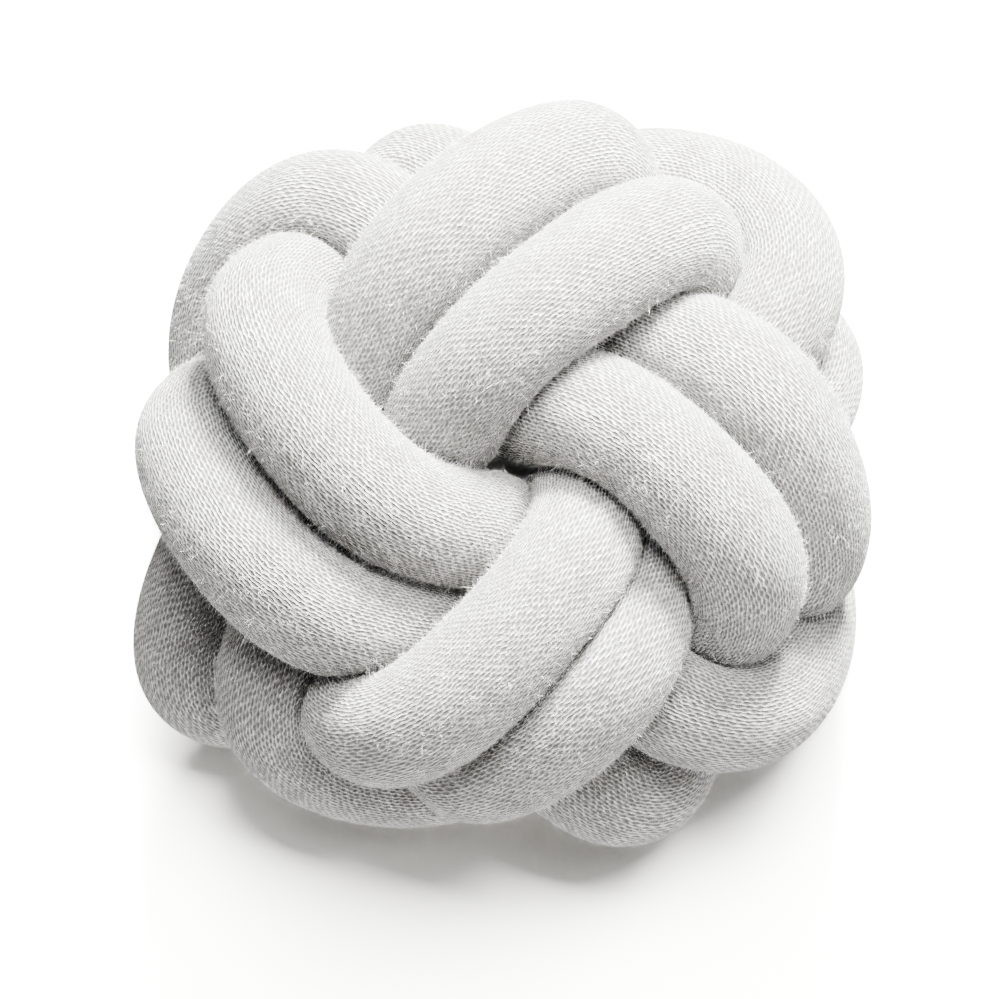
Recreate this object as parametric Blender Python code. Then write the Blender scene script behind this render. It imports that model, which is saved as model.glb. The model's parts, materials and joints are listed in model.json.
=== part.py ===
"""Knot cushion: one long stuffed knitted tube, laid double and tied as an
open-centred turk's head (three strands, four bights), lying on its back.

The doubled tube goes three times round the middle, clockwise seen from above.
Each of the four arms comes up from under its neighbour, crosses the face,
passes over the next arm, hooks down over the rim and runs across the back.
"in" is the lane on the right hand of the run, nearest the middle on the face;
"out" is the lane beside it.  The tube begins in the in lane, changes lane once
under arm C, and ends in the out lane; both closed ends are tucked under there.

Metres, +Z up, the back on the floor.
"""
import math

import bpy
import numpy as np

# ---- named sizes ----------------------------------------------------------
MM = 0.001
TUBE_RADIUS = 25.3        # stuffed tube, free of any neighbour
CONTACT_GAP = 2.4         # left open between two pressed lengths of the tube
CONTACT_SHARPNESS = 14.0  # how tightly a pressed flank turns into a free one
REST_HEIGHT = -78.0       # floor, below the middle plane of the knot
RING_STEP = 14.8          # distance between two sections of the tube
SIDES = 16                # corners of one section
CAP_RINGS = 3             # sections in each rounded end
PATH_STEP = 3.0           # fineness of the route while it is worked out
KNIT_COLOUR = (0.80, 0.79, 0.77, 1.0)

# ---- the route ------------------------------------------------------------
# Bearing of each arm's middle on the face, degrees clockwise from the top.
ARM_BEARING = {"A": 225.0, "D": 135.0, "C": 45.0, "B": 315.0}
ARM_ORDER = ("A", "D", "C", "B")      # the order in which the tube meets them
STATION_ORDER = ("foot", "climb", "rim", "tail", "face", "over", "hook", "dive")
COLUMNS = ("in_turn", "in_out", "in_up", "out_turn", "out_out", "out_up")
# turn: degrees clockwise from the arm's bearing; out: mm from the middle axis;
# up: mm above the middle plane.  One row a station, one block an arm.
STATIONS = {
    "A": {"foot": (-116, 129, -46, -109, 72, -55),
          "climb": (-92, 137, 0, -75, 130, -39),
          "rim": (-77, 94, 16, -58, 118, -10),
          "tail": (-50, 31, 19, -26, 75, 14),
          "face": (27, 54, 58, 12, 100, 47),
          "over": (70, 107, 48, 46, 124, 25),
          "hook": (91, 105, 5, 63, 99, -19),
          "dive": (125, 86, -26, 106, 45, -18)},
    "D": {"foot": (-114, 126, -34, -104, 61, -52),
          "climb": (-90, 147, -9, -73, 127, -43),
          "rim": (-72, 115, 14, -55, 116, -11),
          "tail": (-43, 40, 2, -18, 71, 13),
          "face": (11, 45, 51, 22, 94, 46),
          "over": (60, 98, 53, 51, 118, 9),
          "hook": (77, 113, 18, 60, 75, -21),
          "dive": (103, 77, -28, 118, 27, -30)},
    "C": {"foot": (-125, 101, -51, -87, 71, -56),
          "climb": (-98, 130, -35, -61, 124, -31),
          "rim": (-74, 117, 12, -41, 92, 6),
          "tail": (-49, 37, 7, -1, 78, 22),
          "face": (14, 38, 49, 34, 106, 48),
          "over": (62, 88, 58, 61, 125, -7),
          "hook": (80, 104, 15, 73, 67, -23),
          "dive": (113, 88, -33, 133, 50, -51)},
    "B": {"foot": (-125, 116, -43, -95, 97, -55),
          "climb": (-96, 133, -16, -78, 144, -39),
          "rim": (-80, 99, 15, -55, 108, 0),
          "tail": (-48, 39, 14, -17, 72, 16),
          "face": (32, 42, 56, 25, 92, 47),
          "over": (76, 103, 48, 57, 127, 23),
          "hook": (92, 107, -2, 70, 99, -8),
          "dive": (124, 93, -35, 108, 46, -29)},
}
# Where the lanes change and the ends lie, counted in stations from A's foot.
LANE_CHANGE = (10.13, 11.47)
TUBE_BEGINS = 11.33       # in the in lane
TUBE_ENDS = 10.37         # in the out lane, one full run later


def lane_stations(lane):
    """The lane's 32 stations as points: out*(sin, cos) of the bearing, and up."""
    first = COLUMNS.index(lane + "_turn")
    points = []
    for arm in ARM_ORDER:
        for station in STATION_ORDER:
            turn, out, up = STATIONS[arm][station][first:first + 3]
            bearing = math.radians(ARM_BEARING[arm] + turn)
            points.append((out * math.sin(bearing), out * math.cos(bearing), up))
    return np.array(points, float)


def closed_spline(points, u):
    """Periodic cubic through the points, C2: slopes solve
    m[j-1] + 4 m[j] + m[j+1] = 3 (p[j+1] - p[j-1])."""
    count = len(points)
    left = 4.0 * np.eye(count) + np.roll(np.eye(count), 1, 0) + np.roll(np.eye(count), -1, 0)
    slopes = np.linalg.solve(left, 3.0 * (np.roll(points, -1, 0) - np.roll(points, 1, 0)))
    whole = np.floor(u).astype(int)
    f = (u - whole)[:, None]
    a, b = whole % count, (whole + 1) % count
    return ((2 * f**3 - 3 * f**2 + 1) * points[a] + (f**3 - 2 * f**2 + f) * slopes[a]
            + (3 * f**2 - 2 * f**3) * points[b] + (f**3 - f**2) * slopes[b])


def tube_route():
    """The whole centre line: in lane, the change of lane, out lane."""
    turns = len(ARM_ORDER) * len(STATION_ORDER)
    inner, outer = lane_stations("in"), lane_stations("out")
    first = np.linspace(TUBE_BEGINS, turns + LANE_CHANGE[0], 900)[:-1]
    change = np.linspace(turns + LANE_CHANGE[0], turns + LANE_CHANGE[1], 40)[:-1]
    last = np.linspace(LANE_CHANGE[1], turns + TUBE_ENDS, 900)
    share = (change - change[0]) / (turns + LANE_CHANGE[1] - change[0])
    share = (share * share * (3.0 - 2.0 * share))[:, None]
    crossing = (1.0 - share) * closed_spline(inner, change) + share * closed_spline(outer, change)
    return np.vstack([closed_spline(inner, first), crossing, closed_spline(outer, last)])


def even_steps(points, step):
    """The same line with its points a constant distance apart."""
    run = np.concatenate([[0.0], np.cumsum(np.linalg.norm(np.diff(points, axis=0), axis=1))])
    wanted = np.linspace(0.0, run[-1], int(round(run[-1] / step)) + 1)
    return np.stack([np.interp(wanted, run, points[:, k]) for k in range(3)], -1), wanted


def carried_frames(points):
    """Tangent, side and normal along the line, the side carried without twist."""
    tangent = np.gradient(points, axis=0)
    tangent /= np.linalg.norm(tangent, axis=1)[:, None]
    side = np.cross(tangent[0], (0.0, 0.0, 1.0))
    sides = []
    for t in tangent:
        side = side - t * np.dot(side, t)
        side = side / np.linalg.norm(side)
        sides.append(side)
    sides = np.array(sides)
    return tangent, sides, np.cross(sides, tangent)


def reach(centres, where, directions, path, path_run):
    """How far each ray from a centre may go: the tube's radius, cut short half
    way to every other part of the route (the plane between two centres) and
    at the floor, the two blended by a high power so the flank stays rounded."""
    limit = np.full(directions.shape[:2], 1e9)
    for k, (c, s) in enumerate(zip(centres, where)):
        away = path - c
        span = np.linalg.norm(away, axis=1)
        near = (span < 2.6 * TUBE_RADIUS) & (np.abs(path_run - s) > 9.0)
        if near.any():
            facing = directions[k] @ (away[near] / span[near][:, None]).T
            cut = (span[near] - CONTACT_GAP) / 2.0
            free = np.where(facing > 1e-3, cut / np.maximum(facing, 1e-3), 1e9)
            limit[k] = free.min(axis=1)
    power = CONTACT_SHARPNESS
    radius = (TUBE_RADIUS**-power + np.maximum(limit, 1.0)**-power)**(-1.0 / power)
    drop = np.where(directions[..., 2] < -1e-3,
                    (REST_HEIGHT - centres[:, 2][:, None]) / np.minimum(directions[..., 2], -1e-3), 1e9)
    return np.minimum(radius, drop)


def tube_mesh():
    """Vertices (mm) and faces of the closed tube with its two rounded ends."""
    path, path_run = even_steps(tube_route(), PATH_STEP)
    for _ in range(3):
        path[1:-1] = 0.5 * path[1:-1] + 0.25 * (path[:-2] + path[2:])
    count = int(round(path_run[-1] / RING_STEP)) + 1
    pick = np.linspace(0.0, path_run[-1], count)
    centres = np.stack([np.interp(pick, path_run, path[:, k]) for k in range(3)], -1)
    tangent, side, normal = carried_frames(centres)
    around = np.arange(SIDES) * 2.0 * math.pi / SIDES
    ring = (np.cos(around)[None, :, None] * side[:, None] + np.sin(around)[None, :, None] * normal[:, None])
    lean = [math.pi / 2 * k / (CAP_RINGS + 1) for k in range(1, CAP_RINGS + 1)]
    start = [math.cos(a) * ring[0] - math.sin(a) * tangent[0] for a in reversed(lean)]
    end = [math.cos(a) * ring[-1] + math.sin(a) * tangent[-1] for a in lean]
    rays = np.concatenate([start, ring, end])
    at = np.concatenate([np.repeat(centres[:1], CAP_RINGS, 0), centres, np.repeat(centres[-1:], CAP_RINGS, 0)])
    where = np.concatenate([np.zeros(CAP_RINGS), pick, np.full(CAP_RINGS, pick[-1])])
    body = at[:, None] + rays * reach(at, where, rays, path, path_run)[..., None]
    tips = np.array([centres[0], centres[-1]])
    tip_rays = np.array([[-tangent[0]], [tangent[-1]]])
    tips = tips + (tip_rays * reach(tips, where[[0, -1]], tip_rays, path, path_run)[..., None])[:, 0]
    rows = len(body)
    vertices = np.vstack([body.reshape(-1, 3), tips])
    faces = []
    for r in range(rows - 1):
        for c in range(SIDES):
            d = (c + 1) % SIDES
            faces.append((r * SIDES + c, (r + 1) * SIDES + c, (r + 1) * SIDES + d, r * SIDES + d))
    first_tip, last_tip = rows * SIDES, rows * SIDES + 1
    for c in range(SIDES):
        d = (c + 1) % SIDES
        faces.append((first_tip, c, d))
        faces.append((last_tip, (rows - 1) * SIDES + d, (rows - 1) * SIDES + c))
    return vertices, faces


def knit_material():
    """Off-white heathered knit."""
    material = bpy.data.materials.new("white_grey_knit")
    material.use_nodes = True
    shader = material.node_tree.nodes.get("Principled BSDF")
    shader.inputs["Base Color"].default_value = KNIT_COLOUR
    shader.inputs["Roughness"].default_value = 0.95
    return material


def build():
    for old in list(bpy.data.objects):
        bpy.data.objects.remove(old, do_unlink=True)
    vertices, faces = tube_mesh()
    low, high = vertices.min(axis=0), vertices.max(axis=0)
    vertices = (vertices - ((low[0] + high[0]) / 2, (low[1] + high[1]) / 2, low[2])) * MM
    mesh = bpy.data.meshes.new("knotted_tube")
    mesh.from_pydata([tuple(v) for v in vertices], [], faces)
    mesh.materials.append(knit_material())
    tube = bpy.data.objects.new("knotted_tube", mesh)
    group = bpy.data.collections.new("knot_cushion")
    bpy.context.scene.collection.children.link(group)
    group.objects.link(tube)
    print("size mm", (high - low).round(1), "centre", ((low + high) / 2).round(2), "floor", low[2])


build()
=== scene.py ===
"""The looks of a knot cushion: one long tube of fine heathered knit, stuffed, laid
double and tied as an open-centred turk's head, on white paper in soft light.

Lengths are metres in the row frame unless a name ends in _mm or a comment says mm.
The route of the tube is the one in part.py: a short table of stations for each of
the four arms, in millimetres round the middle of the knot.  The sleeve is that
route thickened, flattened half way to each neighbour, and drawn in eight lengths.
"""
import json
import math

import bpy
import numpy as np
from bpy.props import FloatProperty, FloatVectorProperty, IntProperty, PointerProperty
from mathutils import Matrix, Vector

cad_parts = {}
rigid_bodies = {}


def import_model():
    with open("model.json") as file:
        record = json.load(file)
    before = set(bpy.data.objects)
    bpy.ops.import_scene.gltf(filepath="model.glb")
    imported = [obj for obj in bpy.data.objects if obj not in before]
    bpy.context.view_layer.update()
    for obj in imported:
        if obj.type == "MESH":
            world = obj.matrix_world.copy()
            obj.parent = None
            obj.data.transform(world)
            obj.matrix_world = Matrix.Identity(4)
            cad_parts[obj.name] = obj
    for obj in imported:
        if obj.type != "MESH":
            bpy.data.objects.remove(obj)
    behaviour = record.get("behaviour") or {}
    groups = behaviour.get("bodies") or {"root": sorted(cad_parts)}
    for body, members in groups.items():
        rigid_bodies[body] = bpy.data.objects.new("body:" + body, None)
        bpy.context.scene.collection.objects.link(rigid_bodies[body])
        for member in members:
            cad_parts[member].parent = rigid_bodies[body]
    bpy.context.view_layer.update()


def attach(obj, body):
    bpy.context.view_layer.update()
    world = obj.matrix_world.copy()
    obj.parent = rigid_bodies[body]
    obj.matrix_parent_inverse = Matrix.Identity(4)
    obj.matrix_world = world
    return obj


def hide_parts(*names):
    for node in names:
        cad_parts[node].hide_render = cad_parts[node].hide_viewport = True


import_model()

bl_info = {
    "name": "Knot cushion",
    "version": (1, 0, 0),
    "blender": (4, 5, 0),
    "location": "3D View > Sidebar > Knot cushion",
    "description": "Makes a stuffed knitted tube tied as an open-centred knot cushion, "
                   "with its fuzz and a studio",
    "category": "Add Mesh",
}

MM = 0.001
NODE = "knotted_tube"
BODY = "root"
WHITE_LIGHT = (1.0, 1.0, 1.0, 1.0)

# ---- the route, as in part.py ----------------------------------------------
TUBE_RADIUS = 25.3            # mm, the stuffed tube free of any neighbour
REST_HEIGHT = -78.0           # mm, the floor below the middle plane of the knot
MIDDLE_MM = (-0.41, 0.64, 78.0)  # from the knot's middle to the row frame's origin
ARM_BEARING = {"A": 225.0, "D": 135.0, "C": 45.0, "B": 315.0}
ARM_ORDER = ("A", "D", "C", "B")
STATION_ORDER = ("foot", "climb", "rim", "tail", "face", "over", "hook", "dive")
COLUMNS = ("in_turn", "in_out", "in_up", "out_turn", "out_out", "out_up")
# turn: degrees clockwise from the arm's bearing; out: mm from the middle axis;
# up: mm above the middle plane.  One row a station, one block an arm.
STATIONS = {
    "A": {"foot": (-116, 129, -46, -109, 72, -55),
          "climb": (-92, 137, 0, -75, 130, -39),
          "rim": (-77, 94, 16, -58, 118, -10),
          "tail": (-50, 31, 19, -26, 75, 14),
          "face": (27, 54, 58, 12, 100, 47),
          "over": (70, 107, 48, 46, 124, 25),
          "hook": (91, 105, 5, 63, 99, -19),
          "dive": (125, 86, -26, 106, 45, -18)},
    "D": {"foot": (-114, 126, -34, -104, 61, -52),
          "climb": (-90, 147, -9, -73, 127, -43),
          "rim": (-72, 115, 14, -55, 116, -11),
          "tail": (-43, 40, 2, -18, 71, 13),
          "face": (11, 45, 51, 22, 94, 46),
          "over": (60, 98, 53, 51, 118, 9),
          "hook": (77, 113, 18, 60, 75, -21),
          "dive": (103, 77, -28, 118, 27, -30)},
    "C": {"foot": (-125, 101, -51, -87, 71, -56),
          "climb": (-98, 130, -35, -61, 124, -31),
          "rim": (-74, 117, 12, -41, 92, 6),
          "tail": (-49, 37, 7, -1, 78, 22),
          "face": (14, 38, 49, 34, 106, 48),
          "over": (62, 88, 58, 61, 125, -7),
          "hook": (80, 104, 15, 73, 67, -23),
          "dive": (113, 88, -33, 133, 50, -51)},
    "B": {"foot": (-125, 116, -43, -95, 97, -55),
          "climb": (-96, 133, -16, -78, 144, -39),
          "rim": (-80, 99, 15, -55, 108, 0),
          "tail": (-48, 39, 14, -17, 72, 16),
          "face": (32, 42, 56, 25, 92, 47),
          "over": (76, 103, 48, 57, 127, 23),
          "hook": (92, 107, -2, 70, 99, -8),
          "dive": (124, 93, -35, 108, 46, -29)},
}
LANE_CHANGE = (10.13, 11.47)  # counted in stations from A's foot
TUBE_BEGINS = 11.33           # in the in lane
TUBE_ENDS = 10.37             # in the out lane, one full run later
PATH_STEP = 3.0               # mm, fineness of the route itself
ROUTE_SMOOTHINGS = 3          # times that the route is evened out
LANE_POINTS = 900             # worked out along each lane
CHANGE_POINTS = 40            # worked out along the change of lane
STEEP = 0.8                   # rise of the route past which its first side is taken from +X

# ---- the stuffed sleeve ------------------------------------------------------
SIDES = 72                    # points round the tube
RING_STEP = 2.4               # mm between two sections
CAP_RINGS = 10                # sections in each rounded end
CAP_TIP = 0.2                 # of a section, left flat at the tip of a rounded end
LENGTHS = 8                   # the tube is drawn in this many lengths, end to end
SAME_STRAND = 9.0             # mm of run that count as the same place
NEAR_RADII = 2.6              # tube radii, past which two places can't press on each other
CONTACT_SHARPNESS = 14.0      # how tightly a pressed flank turns into a free one
PRESSED_SHARE = 0.86          # of the free radius: flatter than this counts as pressed
FREE_OVER = 0.1               # more of the free radius, by which the flank counts as free
FAR_MM = 1e9                  # mm, further than anything here reaches
LEAST_REACH = 1.0             # mm, the least a pressed flank keeps
LEAST_COSINE = 1e-3           # a ray that faces a plane less than this never meets it
CHUNK = 64                    # sections worked out at a time
# swings per mm of run, waves round the tube, phase
LUMP_WAVES = ((0.061, 1, 0.3), (0.047, 2, 1.9), (0.083, 3, 4.1), (0.113, 2, 5.2), (0.029, 1, 2.6))
SHEET_MARGIN = 0.01           # of the flat sheet's side, left bare round each strip

# ---- the fuzz ------------------------------------------------------------------
NAP_SEED = 70                 # of the first batch of nap
STRAY_SEED = 90
PLACES_TRIED = 3              # random places for each fibre that is wanted
BARE_BELOW = 2.0              # mm above the floor, where no fibre grows
FLOOR_CLEARANCE = 0.2         # mm, the lowest that a fibre hangs
NAP_LEAN = (25.0, 80.0)       # degrees from upright
STRAY_LEAN = (10.0, 75.0)
NAP_SPREAD = (5.0, 0.2)       # shape and scale of the spread of lengths, mean 1
STRAY_SPREAD = (4.0, 0.25)
STRAY_BEND = 0.8              # 0 leaves a stray straight, 1 lets it bend by up to 90 degrees

# ---- materials ---------------------------------------------------------------
WHITE_YARN = "F7F5F0"
GREY_YARN = "B5B2AB"
# painted shade: the dark grey put down the holes between stitches stands in for the shade there
HOLE_SHADE_COLOUR = "4B4946"
PAPER_WHITE = "F3F1EC"
SHADE_GREY = 0.02             # how much light the shaded paper throws back
# noise on the flat sleeve; Scale is in swings per mm
KNIT_NOISE = {
    "drift": {"Scale": 0.07, "Detail": 1.0},                       # courses wander, over 14 mm
    "shake": {"Scale": 0.5, "Detail": 2.0},                        # single stitches shift, over 2 mm
    "uneven": {"Scale": 0.4, "Detail": 3.0, "Roughness": 0.6},     # some holes gape, some close
    "heather": {"Scale": 1.0, "Detail": 3.0, "Roughness": 0.7},    # short streaks of fibre
    "clouds": {"Scale": 0.09, "Detail": 3.0},                      # more grey carded in, over 11 mm
    "lint": {"Scale": 2.2, "Detail": 3.0},                         # ends of fibres
}
DRIFT_MM = (3.0, 3.0, 0.0)    # how far each noise moves the stitches, across and along
SHAKE_MM = (1.3, 1.6, 0.0)
UNEVENNESS = 0.7              # how much a hole gapes or closes, either way
# CROWN also sets how deep the painted shade in the holes goes
CROWN = 2.7                   # a rib's crown in the law of light; holes take up to 1 more
STREAK = (1.3, 0.5, 1.0)      # streaks are narrower across the rib than along it
CLOUD_SHARE = 0.9             # of the clouds against the streaks
HEATHER_RANGE = (0.7, 1.05)   # from all grey to all white
LINT_RELIEF = 0.3             # of the depth of a hole

# ---- the studio --------------------------------------------------------------
CAMERA_TOWARDS = (-0.070, -0.087, 0.994)   # from the cushion to the camera
CAMERA_UP = (0.0, 0.996, 0.087)
AIM_MM = (-1.4, -10.7)        # the picture's centre, right and up of the knot's middle
SENSOR = 36.0                 # mm
BACKDROP_RADIUS = 12.0        # m
SHADED_PAPER = 0.10           # m, half the width of the paper that the cushion keeps dark
LIT_PAPER = (0.35, 0.70)      # m from the middle, where lit paper turns into backdrop
# name, what it lights, bearing from the picture's top and height (degrees),
# distance, size (m), power (W)
LIGHTS = (
    ("key", "cushion", 15.0, 30.0, 1.6, 0.5, 720.0),
    ("high", "cushion", 0.0, 60.0, 1.6, 1.0, 125.0),
    ("right", "cushion", 90.0, 40.0, 1.6, 1.0, 26.0),
    ("bounce", "cushion", 180.0, -25.0, 1.6, 1.0, 44.0),
    ("bounce_left", "cushion", 240.0, -25.0, 1.6, 1.0, 30.0),
    ("bounce_right", "cushion", 150.0, -12.0, 1.6, 1.0, 44.0),
    ("paper_low", "paper", 0.0, 25.0, 1.6, 0.5, 2050.0),
    ("paper_high", "paper", 15.0, 66.0, 1.6, 0.85, 620.0),
    ("paper_wide", "paper", 0.0, 60.0, 1.6, 2.0, 80.0),
)


def from_hex(text):
    """sRGB hex to linear red, green, blue: c/12.92 up to 0.04045, ((c+0.055)/1.055)^2.4 above."""
    parts = [int(text[k:k + 2], 16) / 255.0 for k in (0, 2, 4)]
    return tuple(c / 12.92 if c <= 0.04045 else ((c + 0.055) / 1.055) ** 2.4 for c in parts)


# =============================================================================
#  Sizes and colours a user would change
# =============================================================================
class KnitSettings(bpy.types.PropertyGroup):
    pair_mm: FloatProperty(
        name="Pair of ribs", description="Width of two ribs of the knit, in millimetres",
        default=3.06, min=1.0, max=12.0)
    stitch_mm: FloatProperty(
        name="Stitch", description="Length of one stitch along the tube, in millimetres",
        default=3.1, min=1.0, max=12.0)
    ribs: FloatProperty(
        name="Ribs",
        description="Strength of the ribs against the holes between them, 0 gives round holes",
        default=0.9, min=0.0, max=1.5)
    lean: FloatProperty(
        name="Lean", description="How far the stitches lean to one side of the ribs",
        default=0.1, min=-1.0, max=1.0)
    slant: IntProperty(
        name="Slant", description="Stitches that a course climbs in one turn round the tube",
        default=8, min=-20, max=20)
    # painted shade: how dark the colour goes down the holes
    contrast: FloatProperty(
        name="Contrast", description="How dark the holes are, 0 for none",
        default=6.0, min=0.0, max=8.0)
    relief_mm: FloatProperty(
        name="Relief", description="Depth of the holes between the stitches, in millimetres",
        default=1.5, min=0.0, max=4.0)
    white: FloatVectorProperty(
        name="White yarn", description="The light fibres of the heathered yarn",
        subtype="COLOR", size=3, min=0.0, max=1.0, default=from_hex(WHITE_YARN))
    grey: FloatVectorProperty(
        name="Grey yarn", description="The grey fibres of the heathered yarn",
        subtype="COLOR", size=3, min=0.0, max=1.0, default=from_hex(GREY_YARN))
    # painted shade: the colour put down a hole between stitches, standing in for the shade there, not a
    # colour of the yarn
    hole_shade: FloatVectorProperty(
        name="Between stitches", description="The yarn seen down a hole between stitches",
        subtype="COLOR", size=3, min=0.0, max=1.0, default=from_hex(HOLE_SHADE_COLOUR))


class StuffingSettings(bpy.types.PropertyGroup):
    gap: FloatProperty(
        name="Gap", description="Left open between two pressed lengths of the tube",
        default=0.4 * MM, min=0.0, max=0.01, unit="LENGTH", precision=5)
    lumps: FloatProperty(
        name="Lumps", description="How far the filling swells and sinks the sleeve",
        default=0.45 * MM, min=0.0, max=0.005, unit="LENGTH", precision=5)
    fill: FloatProperty(
        name="Fill", description="From 0, slack, to 1, full and tight",
        default=0.8, min=0.0, max=1.0, subtype="FACTOR")


class FuzzSettings(bpy.types.PropertyGroup):
    nap_fibres: IntProperty(
        name="Nap fibres", description="Short fibres in each batch of nap",
        default=195000, min=100, max=198000)
    nap_batches: IntProperty(
        name="Nap batches", description="Batches of nap, each a mesh of its own",
        default=2, min=1, max=2)
    nap_length: FloatProperty(
        name="Nap length", description="Length of a usual fibre of the nap",
        default=1.3 * MM, min=0.0, max=0.02, unit="LENGTH", precision=5)
    stray_fibres: IntProperty(
        name="Stray fibres", description="Longer bent fibres that stand off the nap",
        default=62000, min=100, max=66000)
    stray_length: FloatProperty(
        name="Stray length", description="Length of a usual stray fibre",
        default=3.0 * MM, min=0.0, max=0.02, unit="LENGTH", precision=5)
    width: FloatProperty(
        name="Width", description="Width a fibre is drawn with",
        default=0.07 * MM, min=0.0, max=0.001, unit="LENGTH", precision=6)


class StageSettings(bpy.types.PropertyGroup):
    camera_distance: FloatProperty(
        name="Camera distance", description="From the camera to the middle of the cushion",
        default=3.5, min=0.3, max=10.0, unit="LENGTH")
    view_width: FloatProperty(
        name="View width", description="Width of the picture at the middle of the cushion",
        default=0.4046, min=0.1, max=5.0, unit="LENGTH")
    exposure: FloatProperty(
        name="Light", description="Strength of every light, 1 as in the photo",
        default=1.0, min=0.0, max=10.0)
    dome: FloatProperty(
        name="Dome", description="Strength of the even light from all round",
        default=0.1, min=0.0, max=10.0)
    paper_white: FloatProperty(
        name="Paper white", description="Brightness of the lit paper and of the backdrop",
        default=16.5, min=0.0, max=50.0)


# =============================================================================
#  The route of the tube
# =============================================================================
def lane_stations(lane):
    """The lane's 32 stations as points: out*(sin, cos) of the bearing, and up."""
    first = COLUMNS.index(lane + "_turn")
    points = []
    for arm in ARM_ORDER:
        for station in STATION_ORDER:
            turn, out, up = STATIONS[arm][station][first:first + 3]
            bearing = math.radians(ARM_BEARING[arm] + turn)
            points.append((out * math.sin(bearing), out * math.cos(bearing), up))
    return np.array(points, float)


def closed_spline(points, u):
    """Periodic cubic through the points, C2: slopes solve
    m[j-1] + 4 m[j] + m[j+1] = 3 (p[j+1] - p[j-1])."""
    count = len(points)
    left = 4.0 * np.eye(count) + np.roll(np.eye(count), 1, 0) + np.roll(np.eye(count), -1, 0)
    slopes = np.linalg.solve(left, 3.0 * (np.roll(points, -1, 0) - np.roll(points, 1, 0)))
    whole = np.floor(u).astype(int)
    f = (u - whole)[:, None]
    a, b = whole % count, (whole + 1) % count
    return ((2 * f**3 - 3 * f**2 + 1) * points[a] + (f**3 - 2 * f**2 + f) * slopes[a]
            + (3 * f**2 - 2 * f**3) * points[b] + (f**3 - f**2) * slopes[b])


def tube_route():
    """The whole centre line: in lane, the change of lane, out lane."""
    turns = len(ARM_ORDER) * len(STATION_ORDER)
    inner, outer = lane_stations("in"), lane_stations("out")
    first = np.linspace(TUBE_BEGINS, turns + LANE_CHANGE[0], LANE_POINTS)[:-1]
    change = np.linspace(turns + LANE_CHANGE[0], turns + LANE_CHANGE[1], CHANGE_POINTS)[:-1]
    last = np.linspace(LANE_CHANGE[1], turns + TUBE_ENDS, LANE_POINTS)
    share = (change - change[0]) / (turns + LANE_CHANGE[1] - change[0])
    share = (share * share * (3.0 - 2.0 * share))[:, None]
    crossing = (1.0 - share) * closed_spline(inner, change) + share * closed_spline(outer, change)
    return np.vstack([closed_spline(inner, first), crossing, closed_spline(outer, last)])


def even_steps(points, step):
    """The same line with its points a constant distance apart, and the run to each."""
    run = np.concatenate([[0.0], np.cumsum(np.linalg.norm(np.diff(points, axis=0), axis=1))])
    wanted = np.linspace(0.0, run[-1], int(round(run[-1] / step)) + 1)
    return np.stack([np.interp(wanted, run, points[:, k]) for k in range(3)], -1), wanted


def evened(points, times):
    """The line with each inner point moved, that many times, to half itself and a
    quarter of each neighbour."""
    for _ in range(times):
        points[1:-1] = 0.5 * points[1:-1] + 0.25 * (points[:-2] + points[2:])
    return points


def unit(vectors):
    """Each vector divided by its length."""
    return vectors / np.linalg.norm(vectors, axis=-1, keepdims=True)


def carried_frames(points):
    """Tangent t, side and normal along the line, carried without twist.
    Any side field a square to t is turned back by the summed angle
    atan2(a'.b, a'.a) that each step's least rotation makes with the next a and b."""
    t = unit(np.gradient(points, axis=0))
    pole = np.where((np.abs(t[:, 2]) < STEEP)[:, None], (0.0, 0.0, 1.0), (1.0, 0.0, 0.0))
    a = unit(np.cross(t, pole))
    b = np.cross(t, a)
    half = t[:-1] + t[1:]
    slip = np.sum(a[:-1] * t[1:], -1) / (1.0 + np.sum(t[:-1] * t[1:], -1))
    moved = a[:-1] - slip[:, None] * half
    step = np.arctan2(np.sum(moved * b[1:], -1), np.sum(moved * a[1:], -1))
    turn = np.concatenate([[0.0], np.cumsum(step)])[:, None]
    return t, np.cos(turn) * a + np.sin(turn) * b, np.cos(turn) * b - np.sin(turn) * a


# =============================================================================
#  The surface of the stuffed tube
# =============================================================================
def half_way_limit(centres, where, rays, path, run, gap):
    """Along each ray, the distance to the nearest plane that stands half way
    between the ray's centre and any other place of the route, less half the gap:
    (span/2 - gap/2) / cos(angle between the ray and that place)."""
    limit = np.full(rays.shape[:2], FAR_MM)
    for k in range(0, len(centres), CHUNK):
        part = slice(k, k + CHUNK)
        away = path[None] - centres[part, None]
        span = np.linalg.norm(away, axis=-1)
        near = (span < NEAR_RADII * TUBE_RADIUS) & (np.abs(run[None] - where[part, None]) > SAME_STRAND)
        used = np.flatnonzero(near.any(0))
        span, near = span[:, used], near[:, used]
        towards = away[:, used] / np.maximum(span, 1e-6)[..., None]
        facing = np.einsum("rsk,rpk->rsp", rays[part], towards)
        reach = ((span - gap) / 2.0)[:, None] / np.maximum(facing, LEAST_COSINE)
        reach[~(near[:, None] & (facing > LEAST_COSINE))] = FAR_MM
        limit[part] = reach.min(-1)
    return np.maximum(limit, LEAST_REACH)


def filling_lumps(where, angle):
    """Between -1 and 1, the mean of a few slow waves sin(per_mm*run + turns*angle + phase)
    along and round the tube, as loose filling lies."""
    total = sum(np.sin(per_mm * where + turns * angle + phase) for per_mm, turns, phase in LUMP_WAVES)
    return total / len(LUMP_WAVES)


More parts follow.
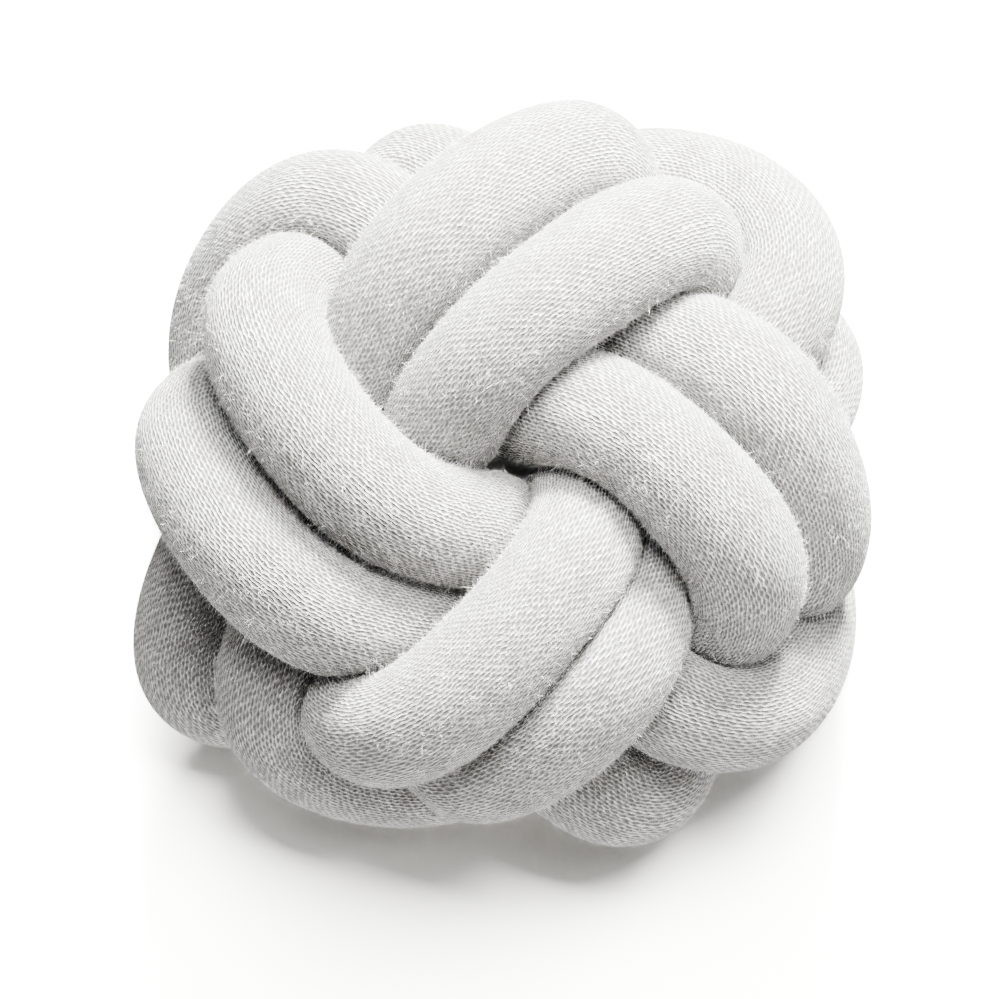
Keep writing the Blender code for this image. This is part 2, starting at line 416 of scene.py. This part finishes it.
class Sleeve:
    """The whole sleeve as one grid: points[section, side] = centre + reach*ray, with
    reach = (free^-n + limit^-n)^(-1/n) of the free radius and the half-way planes;
    unit normals, run in mm, angle round the tube, and free, 1 where nothing presses
    and 0 where the flank is flattened."""

    def __init__(self, gap_mm, lumps_mm):
        path, path_run = even_steps(tube_route(), PATH_STEP)
        path = evened(path, ROUTE_SMOOTHINGS)
        run = np.linspace(0.0, path_run[-1], int(round(path_run[-1] / RING_STEP)) + 1)
        line = np.stack([np.interp(run, path_run, path[:, k]) for k in range(3)], -1)
        line = evened(line, 1)
        tangent, side, normal = carried_frames(line)
        angle = np.arange(SIDES + 1) * 2.0 * math.pi / SIDES
        ring = (np.cos(angle)[:, None] * side[:, None] + np.sin(angle)[:, None] * normal[:, None])
        lean = 0.5 * math.pi * np.arange(1, CAP_RINGS + 1) / (CAP_RINGS + CAP_TIP)
        lean = lean[:, None, None]
        start = np.cos(lean[::-1]) * ring[:1] - np.sin(lean[::-1]) * tangent[0]
        end = np.cos(lean) * ring[-1:] + np.sin(lean) * tangent[-1]
        rays = np.concatenate([start, ring, end])
        ends = [np.repeat(line[k:k + 1], CAP_RINGS, 0) for k in (0, len(line) - 1)]
        centres = np.concatenate([ends[0], line, ends[1]])
        where = np.concatenate([np.zeros(CAP_RINGS), run, np.full(CAP_RINGS, run[-1])])
        limit = half_way_limit(centres, where, rays, path, path_run, gap_mm)
        free = TUBE_RADIUS + lumps_mm * filling_lumps(where[:, None], angle[None])
        power = CONTACT_SHARPNESS
        reach = (free**-power + limit**-power) ** (-1.0 / power)
        self.free = np.clip((reach / free - PRESSED_SHARE) / FREE_OVER, 0.0, 1.0)
        down = np.minimum(rays[..., 2], -LEAST_COSINE)
        drop = (REST_HEIGHT - centres[:, 2][:, None]) / down
        reach = np.minimum(reach, np.where(rays[..., 2] < -LEAST_COSINE, drop, FAR_MM))
        self.points = (centres[:, None] + rays * reach[..., None] + MIDDLE_MM) * MM
        cap_run = TUBE_RADIUS * lean[:, 0, 0]
        self.run = np.concatenate([-cap_run[::-1], run, run[-1] + cap_run])
        self.angle = angle
        self.normals = self.surface_normals(rays)

    def surface_normals(self, rays):
        """Cross product of the two grid directions, closed round the tube, facing outwards."""
        closed = np.concatenate([self.points[:, -2:-1], self.points, self.points[:, 1:2]], 1)
        around = closed[:, 2:] - closed[:, :-2]
        along = np.gradient(self.points, axis=0)
        normals = np.cross(around, along)
        normals *= np.sign(np.sum(normals * rays, -1).mean())
        return unit(normals)


def grid_faces(rows, columns):
    """Quads of a grid of points numbered row by row: (r,c) (r,c+1) (r+1,c+1) (r+1,c)."""
    r, c = np.meshgrid(np.arange(rows - 1), np.arange(columns - 1), indexing="ij")
    corner = (r * columns + c).ravel()
    return np.stack([corner, corner + 1, corner + columns + 1, corner + columns], -1)


def tip_faces(ring):
    """Quads that close the small flat tip of a rounded end, from one half of that
    ring of the grid to the other: (i) (i+1) (SIDES-2-i) (SIDES-1-i)."""
    i = np.arange(SIDES // 2 - 1)
    return ring * (SIDES + 1) + np.stack([i, i + 1, SIDES - 2 - i, SIDES - 1 - i], -1)


def flat_sheet(row, column, rows):
    """A length of sleeve slit open and laid in a square as two strips side by side:
    u = margin + (1/2 - 2*margin)*round + strip/2, v = margin + (1 - 2*margin)*along
    the strip, with round and along from 0 to 1."""
    split = rows // 2
    second = row[:, :1] >= split
    along = np.where(second, (row - split) / (rows - 1 - split), row / split)
    u = SHEET_MARGIN + (0.5 - 2.0 * SHEET_MARGIN) * column / SIDES + 0.5 * second
    return np.stack([u, SHEET_MARGIN + (1.0 - 2.0 * SHEET_MARGIN) * along], -1)


def mesh_from_arrays(name, points, faces):
    """A mesh from a point array and an array of faces with the same number of corners."""
    mesh = bpy.data.meshes.new(name)
    size = faces.shape[1]
    mesh.vertices.add(len(points))
    mesh.vertices.foreach_set("co", points.astype(np.float32).ravel())
    mesh.loops.add(faces.size)
    mesh.loops.foreach_set("vertex_index", faces.astype(np.int32).ravel())
    mesh.polygons.add(len(faces))
    mesh.polygons.foreach_set("loop_start", np.arange(0, faces.size, size, dtype=np.int32))
    mesh.update(calc_edges=True)
    mesh.validate()
    return mesh


def linked(name, mesh, material):
    """A new object of that mesh and material at the origin, riding on the root body."""
    mesh.materials.append(material)
    piece = bpy.data.objects.new(name, mesh)
    bpy.context.scene.collection.objects.link(piece)
    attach(piece, BODY)
    return piece


# =============================================================================
#  Materials
# =============================================================================
def new_material(name):
    """A node material with its Principled shader."""
    material = bpy.data.materials.new(name)
    material.use_nodes = True
    return material, material.node_tree, material.node_tree.nodes["Principled BSDF"]


def add(tree, kind, inputs=(), **settings):
    """Adds a node; inputs maps a socket's name or number to a value, to an output, or
    to a node, whose first output is taken."""
    node = tree.nodes.new("ShaderNode" + kind)
    for key, value in settings.items():
        setattr(node, key, value)
    for key, value in dict(inputs).items():
        if isinstance(value, bpy.types.Node):
            value = value.outputs[0]
        if isinstance(value, bpy.types.NodeSocket):
            tree.links.new(value, node.inputs[key])
        else:
            node.inputs[key].default_value = value
    return node


def pairs_round(knit):
    """Whole pairs of ribs that fit round the tube."""
    return round(2.0 * math.pi * TUBE_RADIUS / knit.pair_mm)


def knit_material(knit):
    """Heathered cotton and wool, fine single knit, washed soft.  The yarn runs in
    wavy ribs along the tube with long holes between them, every second column of
    holes half a stitch on.  Light yarn, matt and velvety, with painted shade: the colour goes dark grey
    down each hole where shade falls."""
    material, tree, shader = new_material("heathered_knit")
    place = add(tree, "UVMap", uv_map="knit_mm")
    # stitches are never quite even: the map is shaken by slow and quick noise, in mm
    drift = add(tree, "TexNoise", {"Vector": place, **KNIT_NOISE["drift"]}).outputs["Color"]
    shake = add(tree, "TexNoise", {"Vector": place, **KNIT_NOISE["shake"]}).outputs["Color"]
    moved = add(tree, "VectorMath", {0: drift, 1: DRIFT_MM, 2: place}, operation="MULTIPLY_ADD")
    moved = add(tree, "VectorMath", {0: shake, 1: SHAKE_MM, 2: moved}, operation="MULTIPLY_ADD")
    x, y = add(tree, "SeparateXYZ", {0: moved}).outputs[:2]
    # across and along are angles, one turn a pair of ribs and one turn a stitch; the
    # courses climb by slant stitches in one turn round the tube
    climb = knit.slant / (pairs_round(knit) * knit.pair_mm) * math.tau
    across = add(tree, "Math", {0: x, 1: math.tau / knit.pair_mm}, operation="MULTIPLY")
    along = add(tree, "Math", {0: y, 1: math.tau / knit.stitch_mm}, operation="MULTIPLY")
    along = add(tree, "Math", {0: x, 1: climb, 2: along}, operation="MULTIPLY_ADD")
    # hole = cos(across)*cos(along) + lean*sin(across)*sin(along) + ribs*cos(2*across) + uneven
    cos_across = add(tree, "Math", {0: across}, operation="COSINE")
    cos_along = add(tree, "Math", {0: along}, operation="COSINE")
    sin_across = add(tree, "Math", {0: across}, operation="SINE")
    sin_along = add(tree, "Math", {0: along}, operation="SINE")
    holes = add(tree, "Math", {0: cos_across, 1: cos_along}, operation="MULTIPLY")
    crossed = add(tree, "Math", {0: sin_across, 1: sin_along}, operation="MULTIPLY")
    holes = add(tree, "Math", {0: crossed, 1: knit.lean, 2: holes}, operation="MULTIPLY_ADD")
    twice = add(tree, "Math", {0: across, 1: 2.0}, operation="MULTIPLY")
    ridges = add(tree, "Math", {0: twice}, operation="COSINE")
    holes = add(tree, "Math", {0: ridges, 1: knit.ribs, 2: holes}, operation="MULTIPLY_ADD")
    uneven = add(tree, "TexNoise", {"Vector": place, **KNIT_NOISE["uneven"]})
    uneven = add(tree, "Math", {0: uneven, 1: 2.0 * UNEVENNESS, 2: -UNEVENNESS}, operation="MULTIPLY_ADD")
    holes = add(tree, "Math", {0: holes, 1: uneven}, operation="ADD")
    # light left on a stitch: (crown / (crown + 1 + hole)) raised to the contrast, at most 1; it is the
    # relief of the stitches and also mixes in the painted shade down the holes
    relief_and_shade = add(tree, "Math", {0: holes, 1: CROWN + 1.0}, operation="ADD")
    relief_and_shade = add(tree, "Math", {0: CROWN, 1: relief_and_shade}, operation="DIVIDE")
    relief_and_shade = add(tree, "Math", {0: relief_and_shade, 1: knit.contrast}, operation="POWER")
    relief_and_shade = add(tree, "Math", {0: relief_and_shade, 1: 1.0}, operation="MINIMUM")
    # heather: short streaks along the yarn, and slow clouds where more grey was carded in
    streaks = add(tree, "Mapping", {"Vector": moved, "Scale": STREAK})
    heather = add(tree, "TexNoise", {"Vector": streaks, **KNIT_NOISE["heather"]})
    clouds = add(tree, "TexNoise", {"Vector": place, **KNIT_NOISE["clouds"]})
    mixed = add(tree, "Math", {0: clouds, 1: CLOUD_SHARE, 2: heather}, operation="MULTIPLY_ADD")
    tone = add(tree, "MapRange",
               {"Value": mixed, "From Min": HEATHER_RANGE[0], "From Max": HEATHER_RANGE[1]})
    yarn = add(tree, "Mix", {"Factor": tone, 6: (*knit.grey, 1.0), 7: (*knit.white, 1.0)},
               data_type="RGBA").outputs[2]
    # painted shade: down each hole the yarn colour goes towards the dark hole colour, where shade falls
    colour = add(tree, "Mix", {"Factor": relief_and_shade, 6: (*knit.hole_shade, 1.0), 7: yarn}, data_type="RGBA").outputs[2]
    lint = add(tree, "TexNoise", {"Vector": place, **KNIT_NOISE["lint"]})
    height = add(tree, "Math", {0: lint, 1: LINT_RELIEF, 2: relief_and_shade}, operation="MULTIPLY_ADD")
    bump = add(tree, "Bump", {"Height": height, "Strength": 1.0, "Distance": knit.relief_mm * MM})
    tree.links.new(colour, shader.inputs["Base Color"])
    tree.links.new(bump.outputs[0], shader.inputs["Normal"])
    shader.inputs["Roughness"].default_value = 0.95
    shader.inputs["Specular IOR Level"].default_value = 0.15
    shader.inputs["Sheen Weight"].default_value = 0.2
    shader.inputs["Sheen Roughness"].default_value = 0.5
    return material


def fuzz_material(knit):
    """Loose wool fibres: one plain off-white, matt, each too fine to show a pattern."""
    material, _, shader = new_material("loose_fibre")
    shader.inputs["Base Color"].default_value = (*knit.white, 1.0)
    shader.inputs["Roughness"].default_value = 0.9
    shader.inputs["Specular IOR Level"].default_value = 0.1
    return material


def paper_material(white):
    """Smooth matt paper, lit from above.  Past LIT_PAPER from the middle it turns
    into the even white of the backdrop, so no edge or horizon shows."""
    material, tree, shader = new_material("white_paper")
    shader.inputs["Base Color"].default_value = (*from_hex(PAPER_WHITE), 1.0)
    shader.inputs["Roughness"].default_value = 0.9
    shader.inputs["Specular IOR Level"].default_value = 0.0
    place = add(tree, "TexCoord").outputs["Object"]
    away = add(tree, "VectorMath", {0: place}, operation="LENGTH").outputs["Value"]
    far = add(tree, "MapRange", {"Value": away, "From Min": LIT_PAPER[0], "From Max": LIT_PAPER[1]},
              interpolation_type="SMOOTHSTEP")
    glow = add(tree, "Emission", {"Color": WHITE_LIGHT, "Strength": white})
    both = add(tree, "MixShader", {0: far, 1: shader, 2: glow})
    tree.links.new(both.outputs[0], tree.nodes["Material Output"].inputs["Surface"])
    return material


def shade_material():
    """Paper in the dark under the cushion: it throws hardly any light back."""
    material, _, shader = new_material("shaded_paper")
    shader.inputs["Base Color"].default_value = (SHADE_GREY, SHADE_GREY, SHADE_GREY, 1.0)
    shader.inputs["Specular IOR Level"].default_value = 0.0
    return material


def backdrop_material(white):
    """Evenly lit white studio wall."""
    material, _, shader = new_material("white_backdrop")
    shader.inputs["Base Color"].default_value = (0.0, 0.0, 0.0, 1.0)
    shader.inputs["Specular IOR Level"].default_value = 0.0
    shader.inputs["Emission Color"].default_value = WHITE_LIGHT
    shader.inputs["Emission Strength"].default_value = white
    return material


# =============================================================================
#  The fuzz
# =============================================================================
def roots(sleeve, wanted, rng):
    """Random places on the free surface: base = corner + f*along + g*around, with f
    and g from 0 to 1; also the normal there and a random direction square to it."""
    rows, columns = sleeve.points.shape[:2]
    tried = PLACES_TRIED * wanted
    row = rng.integers(1, rows - 2, tried)
    column = rng.integers(0, columns - 1, tried)
    exposed = sleeve.free[row, column] > rng.random(tried)
    exposed &= sleeve.points[row, column, 2] > BARE_BELOW * MM
    row, column = row[exposed][:wanted], column[exposed][:wanted]
    f, g = rng.random((2, len(row), 1))
    corner = sleeve.points[row, column]
    along = sleeve.points[row + 1, column] - corner
    around = sleeve.points[row, column + 1] - corner
    turn = rng.random((len(row), 1)) * 2.0 * math.pi
    lateral = unit(np.cos(turn) * unit(along) + np.sin(turn) * unit(around))
    return corner + f * along + g * around, sleeve.normals[row, column], lateral


def leaning(normal, lateral, lean, rng):
    """cos(a)*normal + sin(a)*lateral, with a between the two angles of lean, in degrees."""
    angle = np.radians(rng.uniform(lean[0], lean[1], (len(normal), 1)))
    return np.cos(angle) * normal + np.sin(angle) * lateral


def lifted(points):
    """The points with none lower than the floor's clearance."""
    points[..., 2] = np.maximum(points[..., 2], FLOOR_CLEARANCE * MM)
    return points.reshape(-1, 3)


def nap(sleeve, count, length, width, rng):
    """Short straight fibres, each one thin triangle: root -/+ half the width, and
    tip = root + length*leaning direction, the length from a gamma distribution."""
    base, normal, lateral = roots(sleeve, count, rng)
    way = leaning(normal, lateral, NAP_LEAN, rng)
    blade = unit(np.cross(way, rng.normal(size=way.shape))) * (0.5 * width)
    tip = base + length * rng.gamma(*NAP_SPREAD, (len(base), 1)) * way
    points = np.stack([base - blade, base + blade, tip], 1)
    return lifted(points), np.arange(3 * len(base)).reshape(-1, 3)


def strays(sleeve, count, length, width, rng):
    """Longer fibres, each a narrow blade with one bend half way and a point:
    middle = root + L/2*first, tip = middle + L/2*(first turned a random way)."""
    base, normal, lateral = roots(sleeve, count, rng)
    first = leaning(normal, lateral, STRAY_LEAN, rng)
    bent = unit(first + STRAY_BEND * unit(rng.normal(size=first.shape)))
    half = 0.5 * length * rng.gamma(*STRAY_SPREAD, (len(base), 1))
    middle = base + half * first
    tip = middle + half * bent
    blade = unit(np.cross(first, rng.normal(size=first.shape))) * (0.5 * width)
    points = np.stack([base - blade, base + blade, middle - blade, middle + blade, tip], 1)
    start = (5 * np.arange(len(base)))[:, None]
    faces = np.concatenate([start + (0, 1, 3), start + (0, 3, 2), start + (2, 3, 4)])
    return lifted(points), faces


# =============================================================================
#  The stage
# =============================================================================
def level_square(half, height):
    """Points and face of a level square round the origin, half its width to each side."""
    corners = np.array([(-1, -1, 0), (1, -1, 0), (1, 1, 0), (-1, 1, 0)]) * half
    return corners + (0.0, 0.0, height), np.array([(0, 1, 2, 3)])


def half_sphere(radius, rows=24, columns=48):
    """Points and faces of the upper half of a sphere: radius*(cos a cos h, sin a cos h, sin h)."""
    h = np.linspace(0.0, 0.5 * math.pi, rows)[:, None]
    a = np.linspace(0.0, 2.0 * math.pi, columns)[None]
    points = radius * np.stack([np.cos(a) * np.cos(h), np.sin(a) * np.cos(h), np.sin(h) + 0.0 * a], -1)
    return points.reshape(-1, 3), grid_faces(rows, columns)[:, ::-1]


def staged(name, points, faces, material, met_by=("camera",)):
    """A piece of the studio, met by the named kinds of ray alone.  Light that the
    paper throws back isn't wanted on the cushion, whose underside is dark in the
    photo, so only the camera's own rays meet it."""
    mesh = mesh_from_arrays(name, points, faces)
    mesh.materials.append(material)
    piece = bpy.data.objects.new(name, mesh)
    bpy.context.scene.collection.objects.link(piece)
    for rays in ("camera", "diffuse", "glossy", "shadow"):
        setattr(piece, "visible_" + rays, rays in met_by)
    return piece


def soft_dome(strength):
    """Even white light from all round."""
    world = bpy.data.worlds.new("soft_dome")
    world.use_nodes = True
    background = world.node_tree.nodes["Background"]
    background.inputs["Color"].default_value = WHITE_LIGHT
    background.inputs["Strength"].default_value = strength
    return world


def area_light(name, middle, bearing, height, distance, size, power):
    """A square light facing the middle, from a bearing clockwise from the picture's
    top and a height above the floor, both in degrees."""
    b, h = math.radians(bearing), math.radians(height)
    offset = Vector((math.sin(b) * math.cos(h), math.cos(b) * math.cos(h), math.sin(h))) * distance
    data = bpy.data.lights.new(name, "AREA")
    data.shape = "SQUARE"
    data.size = size
    data.energy = power
    light = bpy.data.objects.new(name, data)
    light.location = middle + offset
    light.rotation_euler = offset.to_track_quat("Z", "Y").to_euler()
    light.visible_camera = False
    bpy.context.scene.collection.objects.link(light)
    return light


def studio_camera(middle, distance, view_width):
    """The camera at the photo's angle, a set distance from the knot's middle and so
    long a lens that the picture is view_width wide there."""
    back = Vector(CAMERA_TOWARDS).normalized()
    right = Vector(CAMERA_UP).cross(back).normalized()
    up = back.cross(right)
    aim = middle + (right * AIM_MM[0] + up * AIM_MM[1]) * MM
    data = bpy.data.cameras.new("camera")
    data.sensor_width = SENSOR
    data.lens = SENSOR * distance / view_width
    camera = bpy.data.objects.new("camera", data)
    turned = Matrix((right, up, back)).transposed().to_4x4()
    camera.matrix_world = Matrix.Translation(aim + back * distance) @ turned
    bpy.context.scene.collection.objects.link(camera)
    return camera


# =============================================================================
#  Operators
# =============================================================================
def make_sleeve(scene):
    """The sleeve at the scene's settings, which are metres, in millimetres."""
    return Sleeve(scene.stuffing.gap / MM, scene.stuffing.lumps / MM)


class KNOT_OT_sleeve(bpy.types.Operator):
    """Make the stuffed knitted sleeve, in lengths laid end to end along the knot"""
    bl_idname = "knot.sleeve"
    bl_label = "Stuffed sleeve"

    def execute(self, context):
        scene = context.scene
        sleeve = make_sleeve(scene)
        material = knit_material(scene.knit)
        across = sleeve.angle / (2.0 * math.pi) * pairs_round(scene.knit) * scene.knit.pair_mm
        cuts = np.linspace(0, len(sleeve.points) - 1, LENGTHS + 1).round().astype(int)
        for k in range(LENGTHS):
            name = f"knit_length_{k + 1}"
            rows = slice(cuts[k], cuts[k + 1] + 1)
            points = sleeve.points[rows, :-1]
            count = len(points)
            corners = grid_faces(count, SIDES + 1)
            if k == 0:
                corners = np.vstack([corners, tip_faces(0)[:, ::-1]])
            if k == LENGTHS - 1:
                corners = np.vstack([corners, tip_faces(count - 1)])
            row, column = corners // (SIDES + 1), corners % (SIDES + 1)
            mesh = mesh_from_arrays(name, points.reshape(-1, 3), row * SIDES + column % SIDES)
            uv = np.stack([across[column], sleeve.run[rows][row]], -1)
            mesh.uv_layers.new(name="knit_mm").data.foreach_set("uv", uv.astype(np.float32).ravel())
            sheet = flat_sheet(row, column, count)
            mesh.uv_layers.new(name="OFBake").data.foreach_set("uv", sheet.astype(np.float32).ravel())
            mesh.shade_smooth()
            normals = sleeve.normals[rows, :-1].reshape(-1, 3)
            mesh.normals_split_custom_set_from_vertices(normals)
            piece = linked(name, mesh, material)
            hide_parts(NODE)
        return {"FINISHED"}


class KNOT_OT_fuzz(bpy.types.Operator):
    """Make the nap and the stray fibres that stand off the knit, in batches"""
    bl_idname = "knot.fuzz"
    bl_label = "Fuzz"

    def execute(self, context):
        scene = context.scene
        sleeve = make_sleeve(scene)
        material = fuzz_material(scene.knit)
        fuzz = scene.fuzz
        for k in range(fuzz.nap_batches):
            name = f"fuzz_nap_{k + 1}"
            rng = np.random.default_rng(NAP_SEED + k)
            points, faces = nap(sleeve, fuzz.nap_fibres, fuzz.nap_length, fuzz.width, rng)
            linked(name, mesh_from_arrays(name, points, faces), material)
        rng = np.random.default_rng(STRAY_SEED)
        points, faces = strays(sleeve, fuzz.stray_fibres, fuzz.stray_length, fuzz.width, rng)
        linked("fuzz_strays", mesh_from_arrays("fuzz_strays", points, faces), material)
        return {"FINISHED"}


class KNOT_OT_stage(bpy.types.Operator):
    """Make the white paper and backdrop, the soft lights and the camera"""
    bl_idname = "knot.stage"
    bl_label = "Stage"

    def execute(self, context):
        scene = context.scene
        stage = scene.stage
        middle = Vector(MIDDLE_MM) * MM
        paper = staged("paper", *level_square(BACKDROP_RADIUS, 0.0), paper_material(stage.paper_white))
        staged("backdrop", *half_sphere(BACKDROP_RADIUS), backdrop_material(stage.paper_white))
        # keeps light from below out of the hole in the middle of the knot
        staged("shade_below", *level_square(SHADED_PAPER, -MM), shade_material(),
               met_by=("diffuse", "shadow"))
        scene.world = soft_dome(stage.dome * stage.exposure)
        lit = {name: bpy.data.collections.new("lit_" + name) for name in ("cushion", "paper")}
        lit["paper"].objects.link(paper)
        for piece in scene.objects:
            if piece.name.startswith(("knit", "fuzz")):
                lit["cushion"].objects.link(piece)
        for name, lights, bearing, height, distance, size, power in LIGHTS:
            light = area_light(name, middle, bearing, height, distance, size, power * stage.exposure)
            light.light_linking.receiver_collection = lit[lights]
        scene.camera = studio_camera(middle, stage.camera_distance, stage.view_width)
        return {"FINISHED"}


class KNOT_PT_panel(bpy.types.Panel):
    """Lists the operators in the sidebar"""
    bl_idname = "KNOT_PT_panel"
    bl_label = "Knot cushion"
    bl_space_type = "VIEW_3D"
    bl_region_type = "UI"
    bl_category = "Knot cushion"

    def draw(self, context):
        for group in GROUPS:
            box = self.layout.box()
            settings = getattr(context.scene, group)
            for name in settings.__annotations__:
                box.prop(settings, name)
        for operator in OPERATORS:
            self.layout.operator(operator.bl_idname)


GROUPS = {
    "knit": KnitSettings,
    "stuffing": StuffingSettings,
    "fuzz": FuzzSettings,
    "stage": StageSettings,
}
OPERATORS = (KNOT_OT_sleeve, KNOT_OT_fuzz, KNOT_OT_stage)
CLASSES = (*GROUPS.values(), *OPERATORS, KNOT_PT_panel)


def register():
    """Registers the classes and hangs each group of settings on the scene."""
    for cls in CLASSES:
        bpy.utils.register_class(cls)
    for name, group in GROUPS.items():
        setattr(bpy.types.Scene, name, PointerProperty(type=group))


def unregister():
    """Takes back what register did."""
    for name in GROUPS:
        delattr(bpy.types.Scene, name)
    for cls in reversed(CLASSES):
        bpy.utils.unregister_class(cls)


def main():
    """Makes the pieces in order, then the stage."""
    register()
    bpy.ops.knot.sleeve()
    bpy.ops.knot.fuzz()
    bpy.ops.knot.stage()


if __name__ == "__main__":
    main()
